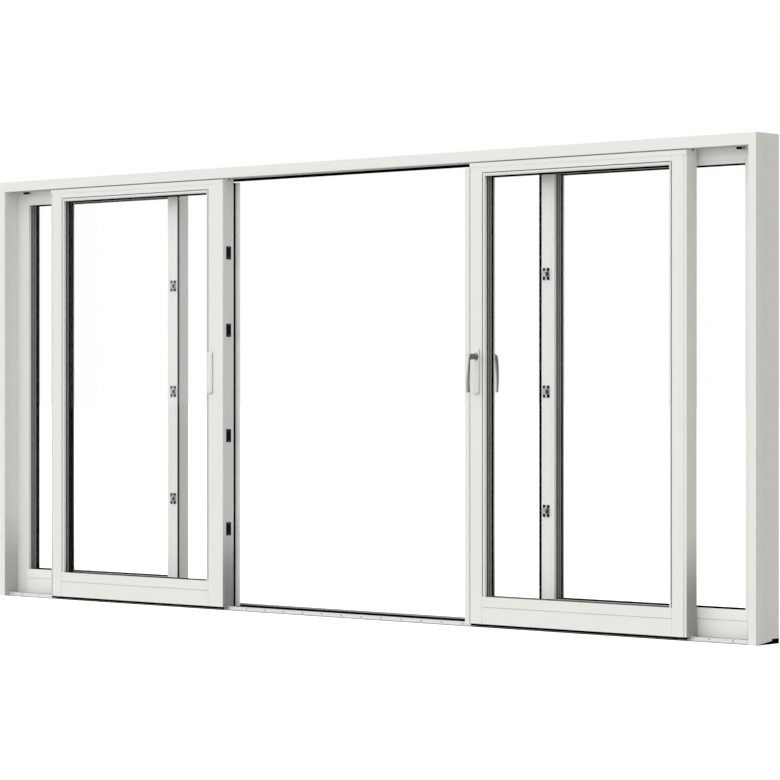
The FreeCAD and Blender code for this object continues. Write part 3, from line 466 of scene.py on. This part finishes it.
def lacquer(name, along, deep=LACQUER_DEEP, pale=LACQUER_PALE):
    """Satin lacquer on pine: faint clouds in the colour, soft grain and spray texture."""
    material, tree, shader = new_material(name)
    clouds_space = pattern_space(tree, (CLOUDS_PER_METRE,) * 3)
    clouds = add(tree, "ShaderNodeTexNoise", {"Vector": clouds_space.outputs[0], "Scale": 1.0,
                                              "Detail": 2.0})
    grain_scale = [1000.0 / GRAIN_WIDE_MM] * 3
    grain_scale[along] = 1000.0 / GRAIN_LONG_MM
    grain_space = pattern_space(tree, grain_scale)
    grain = add(tree, "ShaderNodeTexNoise", {"Vector": grain_space.outputs[0], "Scale": 1.0,
                                             "Detail": 5.0, "Roughness": 0.65})
    spray_space = pattern_space(tree, (1000.0 / SPRAY_MM,) * 3)
    spray = add(tree, "ShaderNodeTexNoise", {"Vector": spray_space.outputs[0], "Scale": 1.0,
                                             "Detail": 1.0})
    mixed = add(tree, "ShaderNodeMix", {"Factor": GRAIN_IN_TINT, "A": clouds.outputs["Fac"],
                                        "B": grain.outputs["Fac"]})
    tint = add(tree, "ShaderNodeMix", {"Factor": mixed.outputs[0], "A": linear(deep),
                                       "B": linear(pale)}, data_type="RGBA")
    gloss = add(tree, "ShaderNodeMapRange", {"Value": clouds.outputs["Fac"],
                                             "To Min": FILM_GLOSS[0], "To Max": FILM_GLOSS[1]})
    height = add(tree, "ShaderNodeMix", {"Factor": SPRAY_IN_RELIEF, "A": grain.outputs["Fac"],
                                         "B": spray.outputs["Fac"]})
    relief = add(tree, "ShaderNodeBump", {"Height": height.outputs[0], "Strength": 0.12,
                                          "Distance": FILM_RELIEF})
    tree.links.new(tint.outputs["Result"], shader.inputs["Base Color"])
    tree.links.new(gloss.outputs[0], shader.inputs["Roughness"])
    tree.links.new(relief.outputs[0], shader.inputs["Normal"])
    shader.inputs["IOR"].default_value = 1.48
    return material


# The heights between which the painted shade on an upright fades out.
SHADE_BOTTOM = 0.05
SHADE_TOP = 0.55


def paint_low_shade(material, floor_share):
    """Paints shade into a finish: darkens it towards the floor on the faces turned to the right
    along the wall, to a share of its colour at the bottom."""
    tree = material.node_tree
    shader = tree.nodes["Principled BSDF"]
    paint = shader.inputs["Base Color"].links[0].from_socket
    surface = add(tree, "ShaderNodeNewGeometry")
    turned = add(tree, "ShaderNodeSeparateXYZ", {0: surface.outputs["Normal"]})
    place = add(tree, "ShaderNodeTexCoord")
    height = add(tree, "ShaderNodeSeparateXYZ", {0: place.outputs["Object"]})
    low = add(tree, "ShaderNodeMapRange", {"Value": height.outputs["Z"], "From Min": SHADE_BOTTOM,
                                           "From Max": SHADE_TOP, "To Min": 1.0, "To Max": 0.0},
              interpolation_type="SMOOTHERSTEP")
    amount = add(tree, "ShaderNodeMath", {0: low.outputs[0], 1: turned.outputs["X"]},
                 operation="MULTIPLY", use_clamp=True)
    share = add(tree, "ShaderNodeMapRange", {"Value": amount.outputs[0], "To Min": 1.0,
                                             "To Max": floor_share})
    shaded = add(tree, "ShaderNodeVectorMath", {0: paint, 1: share.outputs[0]}, operation="MULTIPLY")
    tree.links.new(shaded.outputs[0], shader.inputs["Base Color"])
    return material


# Lacquered pine: warm white and satin, with slow faint clouds and a soft grain under the film.
upright_lacquer = lacquer("lacquered_pine_upright", UPRIGHT)
level_lacquer = lacquer("lacquered_pine_level", ALONG_WALL)
# The left jamb's lacquer has painted shade, darker towards the floor.
coat(["left_jamb"], paint_low_shade(lacquer("lacquered_pine_left_jamb_painted_shade", UPRIGHT), floor_share=0.64))
coat(["right_jamb"], upright_lacquer)
coat(["head"], level_lacquer)


# Head hardware: an aluminium guide fin in the head's channel keeps the leaves upright, and steel
# brackets with rubber buffers stop them before the jambs. A rubber seal runs under the head.

# Anodised guide aluminium: pale and silky, with die lines about 1 mm apart.
guide_metal = drawn_metal("guide_aluminium", ("#D6D6D5", "#E6E6E5"), line_mm=1.0, roughness=0.45,
                          along=ALONG_WALL, metallic=0.4)
coat(["head_guide"], guide_metal)
coat(["stop_brackets"], zinc_steel)
# Synthetic rubber: nearly black and dull, with a fine moulded grain.
rubber = speckle("black_rubber", ("#040404", "#090909"), grit_mm=1.5, roughness=0.8, depth_mm=0.08,
                 shine=0.0)
coat(["head_seal"], rubber)

MERGE_WITHIN = 0.00001
SHARP_FROM = math.radians(35.0)


def smooth_copy(name, nodes, body, material):
    """A merged, smoothly shaded copy of CAD nodes with curved faces, which it stands for."""
    merged = bmesh.new()
    for node in nodes:
        merged.from_mesh(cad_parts[node].data)
    bmesh.ops.remove_doubles(merged, verts=merged.verts, dist=MERGE_WITHIN)
    mesh = bpy.data.meshes.new(name)
    merged.to_mesh(mesh)
    merged.free()
    mesh.shade_smooth()
    mesh.set_sharp_from_angle(angle=SHARP_FROM)
    mesh.materials.clear()
    mesh.materials.append(material)
    piece = bpy.data.objects.new(name, mesh)
    bpy.context.collection.objects.link(piece)
    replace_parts(piece, *nodes)
    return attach(piece, body)


smooth_copy("end_buffers", ["stop_buffers"], "frame", rubber)


# Fixed lights: pine frames in the outer plane, lacquered like the outer frame, each glazed with a
# triple sealed unit in rubber gaskets. Two upright beads hold it, with a level one between them at
# the top.

coat(["left_fixed_stiles", "right_fixed_stiles"], upright_lacquer)
# Lacquered pine of the fixed rails: the same satin film, a trace paler as painted light, which
# lifts them in the shade deep in the frame.
painted_light_lacquer = lacquer("lacquered_pine_fixed_rails_painted_light", ALONG_WALL, deep="#FAF9F5", pale="#FDFCF9")
coat(["left_fixed_rails", "right_fixed_rails"], painted_light_lacquer)
coat(["fixed_beads"], level_lacquer)
coat(["fixed_gaskets"], rubber)

# A thin rubber flap stands out from each meeting edge, on a deeper root fixed to the stile.
FLAP_REACH = 0.012
FLAP_THICK = 0.0018
FLAP_TIP_THICK = FLAP_THICK * 0.6
FLAP_ROOT = 0.005
FLAP_ROOT_REACH = FLAP_ROOT / 3
seal_low, seal_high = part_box("fixed_edge_seals")
flaps = []
for way in (-1, 1):
    edge, root, tip = (way * (seal_high.x - part) for part in (0.0, FLAP_ROOT_REACH, FLAP_REACH))
    flaps.append(([(edge, seal_low.y), (tip, seal_low.y), (tip, seal_low.y + FLAP_TIP_THICK),
                   (root, seal_low.y + FLAP_THICK), (root, seal_low.y + FLAP_ROOT),
                   (edge, seal_low.y + FLAP_ROOT)], UPRIGHT, seal_low.z, seal_high.z))
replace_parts(swept("edge_flaps", flaps, rubber, "frame"), "fixed_edge_seals")


# Black rubber strips round the panes, as painted shade: cords in the bead grooves, a wedge under
# the top bead, and thin liners on the reveals and the bottom rail. A thin cord also fills the
# joint of the bottom rail's boards. Heights are from the floor, depths from the light's room face.
BEAD_WIDE = 0.014
BEAD_FOOT, BEAD_TOP = 0.141, 2.078
SIGHT_TOP = 2.059
REVEAL_BACK = 0.0758
LAP = 0.0001
CORD_DEPTH, CORD_THICK = 0.0005, 0.005
CORD_WIDE, CORD_SLIM, CORD_LEVEL = 0.0034, 0.0019, 0.0011
CORD_GAP = 0.0035
BOARD_JOINT, BOARD_JOINT_HALF = 0.093, 0.0003
BOARD_CORD_DEPTHS = (0.0007, 0.0018)
LINER_THICK = 0.0004


def painted_shade_strips(name, body, face, near, far, cords, wedge, liner, sills, sides):
    """Black rubber of one light between its beads' outer edges, near and far, as painted shade, with
    a thin cord in the board joint. The wedge under the top bead starts at a depth and has a height,
    and the liner behind it reaches to the back. Sills are liners on the bottom rail, and sides are
    liners on the near reveal, by their depths."""
    front = face + CORD_DEPTH
    left, right = near + BEAD_WIDE, far - BEAD_WIDE
    deep, high = wedge
    back = face + REVEAL_BACK
    runs = [([(face + deep, SIGHT_TOP + high), (face + deep, SIGHT_TOP - LINER_THICK),
              (back, SIGHT_TOP - liner), (back, SIGHT_TOP + LAP),
              (face + deep + high, SIGHT_TOP + LAP)], ALONG_WALL, left, right)]
    if cords:
        runs += [(oblong(near, near + CORD_WIDE, front, front + CORD_THICK), UPRIGHT, BEAD_FOOT,
                  BEAD_TOP),
                 (oblong(far - CORD_SLIM, far, front, front + CORD_THICK), UPRIGHT, BEAD_FOOT,
                  BEAD_TOP),
                 (oblong(front, front + CORD_THICK, BEAD_TOP - CORD_LEVEL, BEAD_TOP), ALONG_WALL,
                  near + CORD_GAP, far - CORD_GAP)]
    start, end = BOARD_CORD_DEPTHS
    runs.append((oblong(face + start, face + end, BOARD_JOINT - BOARD_JOINT_HALF,
                        BOARD_JOINT + BOARD_JOINT_HALF), ALONG_WALL, near, far))
    runs += [(oblong(left - LAP, left + LINER_THICK, face + start, face + end), UPRIGHT, BEAD_FOOT,
              SIGHT_TOP) for start, end in sides]
    runs += [(oblong(face + start, face + end, BEAD_FOOT - LAP, BEAD_FOOT + thick), ALONG_WALL, left,
              right) for start, end, thick in sills]
    return swept(name, runs, rubber, body)


FIXED_FACE = 0.0085
FIXED_INNER_EDGE = 1.220
FIXED_WEDGE = (0.0022, 0.0050)
FIXED_LINER = 0.0018
FIXED_SILLS = ((0.003, 0.0705, LINER_THICK), (0.0705, REVEAL_BACK, 0.0025))
LEFT_FIXED_SIDES = ((0.066, REVEAL_BACK),)
RIGHT_FIXED_SIDES = ((0.017, 0.0245),)
bead_low, bead_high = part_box("fixed_beads")
painted_shade_strips("left_fixed_painted_shade_strips", "frame", FIXED_FACE, bead_low.x, -FIXED_INNER_EDGE, False,
              FIXED_WEDGE, FIXED_LINER, FIXED_SILLS, LEFT_FIXED_SIDES)
painted_shade_strips("right_fixed_painted_shade_strips", "frame", FIXED_FACE, FIXED_INNER_EDGE, bead_high.x, False,
              FIXED_WEDGE, FIXED_LINER, FIXED_SILLS, RIGHT_FIXED_SIDES)

# Float glass with an anti-glare coating: colourless and polished, so that only a faint sheen
# shows, and more of it at a flat angle. Toughening leaves a slow wave in the faces.
GLASS_INDEX = 1.52
SHEEN_SHARE = 0.015
WAVE_PER_METRE = 4.0
WAVE_DEPTH = 0.002
glass, tree, shader = new_material("clear_float_glass")
space = pattern_space(tree, (WAVE_PER_METRE,) * 3)
wave = add(tree, "ShaderNodeTexNoise", {"Vector": space.outputs[0], "Scale": 1.0, "Detail": 0.0})
relief = add(tree, "ShaderNodeBump", {"Height": wave.outputs["Fac"], "Strength": 0.05,
                                      "Distance": WAVE_DEPTH})
tint = add(tree, "ShaderNodeMix", {"Factor": wave.outputs["Fac"], "A": linear("#F4FAF7"),
                                   "B": linear("#FAFDFB")}, data_type="RGBA")
flat_on = add(tree, "ShaderNodeFresnel", {"IOR": GLASS_INDEX})
sheen = add(tree, "ShaderNodeMath", {0: flat_on.outputs[0], 1: SHEEN_SHARE}, operation="MULTIPLY")
tree.links.new(tint.outputs["Result"], shader.inputs["Base Color"])
tree.links.new(relief.outputs[0], shader.inputs["Normal"])
tree.links.new(sheen.outputs[0], shader.inputs["Alpha"])
shader.inputs["Metallic"].default_value = 1.0
shader.inputs["Roughness"].default_value = 0.02
coat(["fixed_glass"], glass)

# Warm-edge spacer bars: extruded grey plastic, dull, with a fine mottle.
spacer_plastic = speckle("grey_spacer_plastic", ("#858582", "#989895"), grit_mm=1.2, roughness=0.6,
                         depth_mm=0.03)
# Butyl sealant: soft dull black, smeared on where the bars meet the panes. The same black is
# also painted shade on the undersides of the top bars.
butyl = speckle("black_butyl_sealant", ("#050505", "#0B0B0B"), grit_mm=2.0, roughness=0.8,
                depth_mm=0.03, shine=0.0)
MID_HEIGHT = 1.1
TURNED = 0.5


def spacer_bars(name, node, body, black_behind=math.inf):
    """Spacer bars with grey sides and black sealed faces against the panes. The undersides of the
    top run are black as painted shade, and behind a depth the bars are black all over.
    """
    bars = smooth_copy(name, [node], body, spacer_plastic)
    bars.data.materials.append(butyl)
    for face in bars.data.polygons:
        shade_under_top = face.normal.z < -TURNED and face.center.z > MID_HEIGHT
        if abs(face.normal.y) > TURNED or shade_under_top or face.center.y > black_behind:
            face.material_index = 1


spacer_bars("fixed_spacer_bars", "fixed_spacers", "frame")


# Interlock clips: three on each fixed meeting stile. Each is a stainless plate with a hook towards
# the room, held to the stile by black moulded corners and a rim.

# Stainless steel: brushed, pale, lines about 0.5 mm apart.
stainless = drawn_metal("brushed_stainless_steel", ("#B0AFAC", "#C6C5C2"), line_mm=0.5,
                        roughness=0.42, along=UPRIGHT)
coat(["interlock_clips"], stainless)

# Places are from the middle of a clip, depths in the door's own frame.
CLIP_SPREAD = 1.191
CLIP_HEIGHTS = (0.538, 1.078, 1.610)
CLIP_HALF_WIDE, CLIP_HALF_HIGH = 0.017, 0.027
PLATE_FACE, HOOK_FACE = 0.0048, -0.0025
CORNER_WIDE, CORNER_HIGH = 0.0105, 0.0130
CORNER_FRONT, CORNER_BACK = PLATE_FACE - 0.0015, PLATE_FACE + 0.0037
RIM_WIDE, RIM_SET_BACK = 0.002, 0.001
BLOCK_LEFT, BLOCK_RIGHT = 0.002, 0.0168
BLOCK_FRONT, BLOCK_BACK = HOOK_FACE - 0.0004, HOOK_FACE + 0.002
BLOCK_LOW, BLOCK_HIGH = -0.010, 0.008
corners, rims, blocks = [], [], []
for middle in (-CLIP_SPREAD, CLIP_SPREAD):
    for height in CLIP_HEIGHTS:
        low, high = height - CLIP_HALF_HIGH, height + CLIP_HALF_HIGH
        left, right = middle - CLIP_HALF_WIDE, middle + CLIP_HALF_WIDE
        for x0, x1 in ((left, left + CORNER_WIDE), (right - CORNER_WIDE, right)):
            corner = oblong(x0, x1, CORNER_FRONT, CORNER_BACK)
            corners.append((corner, UPRIGHT, low, low + CORNER_HIGH))
            corners.append((corner, UPRIGHT, high - CORNER_HIGH, high))
        rims.append((oblong(left, left + RIM_WIDE, CORNER_FRONT + RIM_SET_BACK, CORNER_BACK),
                     UPRIGHT, low, high))
        blocks.append((oblong(middle + BLOCK_LEFT, middle + BLOCK_RIGHT, BLOCK_FRONT, BLOCK_BACK),
                       UPRIGHT, height + BLOCK_LOW, height + BLOCK_HIGH))
swept("clip_corners", corners + rims, base_plastic, "frame")
# Dark grey moulding: a shade lighter than the corners, fine grain. It fills the hook.
block_grey = speckle("dark_grey_moulding", ("#40403F", "#4E4E4C"), grit_mm=0.8, roughness=0.6,
                     depth_mm=0.02, shine=0.1)
swept("clip_blocks", blocks, block_grey, "frame")


# Sliding leaves: lacquered pine frames in the room-side plane, glazed like the fixed lights, that
# run on steel roller carriages. A batten and a tongue run along the top of each.

LEAF_FACE = -0.0855
LEAF_WEDGE = (0.0040, 0.0020)
LEAF_LINER = 0.0006
LEAF_SILLS = ((0.003, 0.020, LINER_THICK), (0.056, REVEAL_BACK, LINER_THICK))
SIDE_LINERS = {"left": ((0.056, 0.0705),), "right": ()}
BLACK_BEHIND = {"left": -0.0475, "right": math.inf}
BRUSH_DEPTHS = (0.002, 0.012)
BRUSH_TIP_DEPTHS = (0.0035, 0.0095)
BRUSH_TIP_HEIGHT = 0.0062
BRUSH_INSET = 0.003
# The leaves' uprights have the same lacquer as the jambs, with painted shade near the floor on
# the faces turned to the right.
leaf_lacquer_painted_shade = paint_low_shade(lacquer("lacquered_pine_leaf_upright_painted_shade", UPRIGHT), floor_share=0.42)

for side in ("left", "right"):
    leaf = f"{side}_leaf"
    coat([f"{leaf}_stiles"], leaf_lacquer_painted_shade)
    coat([f"{leaf}_rails", f"{leaf}_beads"], level_lacquer)
    coat([f"{leaf}_gaskets"], rubber)
    coat([f"{leaf}_glass"], glass)
    spacer_bars(f"{leaf}_spacer_bars", f"{leaf}_spacers", leaf, BLACK_BEHIND[side])
    coat([f"{leaf}_rollers"], zinc_steel)
    bead_low, bead_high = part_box(f"{leaf}_beads")
    painted_shade_strips(f"{leaf}_painted_shade_strips", leaf, LEAF_FACE, bead_low.x, bead_high.x, True,
                  LEAF_WEDGE, LEAF_LINER, LEAF_SILLS, SIDE_LINERS[side])
    # A black brush seal hangs under the room side of each leaf.
    stile_low, stile_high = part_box(f"{leaf}_stiles")
    brush = [(LEAF_FACE + BRUSH_DEPTHS[0], stile_low.z), (LEAF_FACE + BRUSH_DEPTHS[1], stile_low.z),
             (LEAF_FACE + BRUSH_TIP_DEPTHS[1], BRUSH_TIP_HEIGHT),
             (LEAF_FACE + BRUSH_TIP_DEPTHS[0], BRUSH_TIP_HEIGHT)]
    swept(f"{leaf}_brush", [(brush, ALONG_WALL, stile_low.x + BRUSH_INSET,
                             stile_high.x - BRUSH_INSET)], rubber, leaf)
coat(["right_leaf_room_strip"], upright_lacquer)
# A black cord in the shadow gap between the room-side strip and the right leaf's stile: painted
# shade that darkens the gap.
STRIP_CORD_START, STRIP_CORD_END = 0.0017, 0.0001
STRIP_CORD_FRONT, STRIP_CORD_BACK = 0.0009, 0.006
strip_low, strip_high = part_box("right_leaf_room_strip")
strip_shade_cord = oblong(strip_high.x - STRIP_CORD_START, strip_high.x - STRIP_CORD_END,
                    LEAF_FACE + STRIP_CORD_FRONT, LEAF_FACE + STRIP_CORD_BACK)
swept("room_strip_cord", [(strip_shade_cord, UPRIGHT, strip_low.z, strip_high.z)], rubber, "right_leaf")
coat(["left_leaf_strip_seal"], rubber)
# Satin anodised aluminium: very pale, silky, lines about 0.8 mm apart.
strip_metal = drawn_metal("satin_anodised_aluminium", ("#ECEDE9", "#F6F7F3"), line_mm=0.8,
                          roughness=0.4, along=UPRIGHT, metallic=0.15)
coat(["left_leaf_outside_strip"], strip_metal)


# Meeting edges: black cast keeps let into the left leaf, and a steel lock plate in the right
# leaf, each held by countersunk screws.

# Black-coated zinc castings: dull, slightly pebbled.
cast_black = speckle("black_coated_casting", ("#070707", "#0F0F0F"), grit_mm=1.2, roughness=0.6,
                     depth_mm=0.05, shine=0.15)
smooth_copy("lock_keeps", ["left_leaf_keeps"], "left_leaf", cast_black)
coat(["right_leaf_lock_plate"], zinc_steel)

EDGE_SCREW_RADIUS_MM = 3.4
KEEP_HEIGHTS = (0.400, 0.860, 1.380, 1.762)
KEEP_SCREW_OFFSET = 0.026
keep_low, keep_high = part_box("left_leaf_keeps")
keep_middle = (keep_low.y + keep_high.y) / 2
points = [(keep_high.x, keep_middle, height + way * KEEP_SCREW_OFFSET)
          for height in KEEP_HEIGHTS for way in (-1, 1)]
screws("keep_screws", "left_leaf", points, TOWARD_RIGHT, EDGE_SCREW_RADIUS_MM,
               height_mm=0.6, head=zinc_steel)

LOCK_SCREW_PITCH = 0.2
LOCK_SCREW_FROM_END = 0.02
plate_low, plate_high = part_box("right_leaf_lock_plate")
points = []
z = plate_low.z + LOCK_SCREW_FROM_END
while z < plate_high.z:
    points.append((plate_low.x, (plate_low.y + plate_high.y) / 2, z))
    z += LOCK_SCREW_PITCH
screws("lock_plate_screws", "right_leaf", points, TOWARD_LEFT, EDGE_SCREW_RADIUS_MM,
               height_mm=0.5, head=zinc_steel)


# Handle set: white moulded plates with bevelled rims on both faces of the right leaf and one
# blank on the left leaf, and cast levers with a satin chrome finish on a square spindle.

# How open a spot is to its surroundings: a corner gets the full painted contact shade, and a
# face none.
CORNER_OPEN, FACE_OPEN = 0.3, 0.95


def paint_contact_shade(material, reach_mm, deepest):
    """Paints contact shade into a finish: darkens it within reach of other faces, to a share of its
    colour in a corner.
    """
    tree = material.node_tree
    shader = tree.nodes["Principled BSDF"]
    paint = shader.inputs["Base Color"].links[0].from_socket
    nearness = add(tree, "ShaderNodeAmbientOcclusion", {"Distance": reach_mm / 1000.0}, samples=6)
    share = add(tree, "ShaderNodeMapRange", {"Value": nearness.outputs["AO"],
                                             "From Min": CORNER_OPEN, "From Max": FACE_OPEN,
                                             "To Min": deepest, "To Max": 1.0})
    shaded = add(tree, "ShaderNodeVectorMath", {0: paint, 1: share.outputs[0]}, operation="MULTIPLY")
    tree.links.new(shaded.outputs[0], shader.inputs["Base Color"])


# Nylon moulding: white, a soft sheen and a very fine grain, with painted shade in the corner
# round its rim.
nylon = speckle("white_nylon_moulding", ("#EDECE8", "#F3F2EE"), grit_mm=1.0, roughness=0.35,
                depth_mm=0.02)
paint_contact_shade(nylon, reach_mm=12.0, deepest=0.35)
for name, node, body in (("plate_inside", "right_leaf_inside_plate", "right_leaf"),
                         ("plate_outside", "right_leaf_outside_plate", "right_leaf"),
                         ("plate_blank", "left_leaf_cover_plate", "left_leaf")):
    smooth_copy(name, [node], body, nylon)

# Satin chrome on a zinc casting: finely brushed, bright on the side of the room. A painted
# reflection, as of a dim doorway, darkens the side turned to the meeting edge, and painted shade
# darkens it near other faces.
satin_chrome = drawn_metal("satin_chrome_casting", ("#DDDAD5", "#F2EFEA"), line_mm=0.4,
                           roughness=0.3, along=UPRIGHT)
DARK_SIDE = (0.94, -0.34, -0.3)
DARK_FROM, DARK_FULL, DARK_SHARE = 0.05, 0.85, 0.3
tree = satin_chrome.node_tree
shader = tree.nodes["Principled BSDF"]
brushed = shader.inputs["Base Color"].links[0].from_socket
surface = add(tree, "ShaderNodeNewGeometry")
turned = add(tree, "ShaderNodeVectorMath", {0: surface.outputs["Normal"], 1: DARK_SIDE},
             operation="DOT_PRODUCT")
share = add(tree, "ShaderNodeMapRange", {"Value": turned.outputs["Value"], "From Min": DARK_FROM,
                                         "From Max": DARK_FULL, "To Min": 1.0,
                                         "To Max": DARK_SHARE})
darkened = add(tree, "ShaderNodeVectorMath", {0: brushed, 1: share.outputs[0]},
               operation="MULTIPLY")
tree.links.new(darkened.outputs[0], shader.inputs["Base Color"])
paint_contact_shade(satin_chrome, reach_mm=10.0, deepest=0.55)
smooth_copy("lever_inside", ["handle_inside"], "handle", satin_chrome)
smooth_copy("lever_outside", ["handle_outside"], "handle", satin_chrome)
coat(["handle_spindle"], zinc_steel)
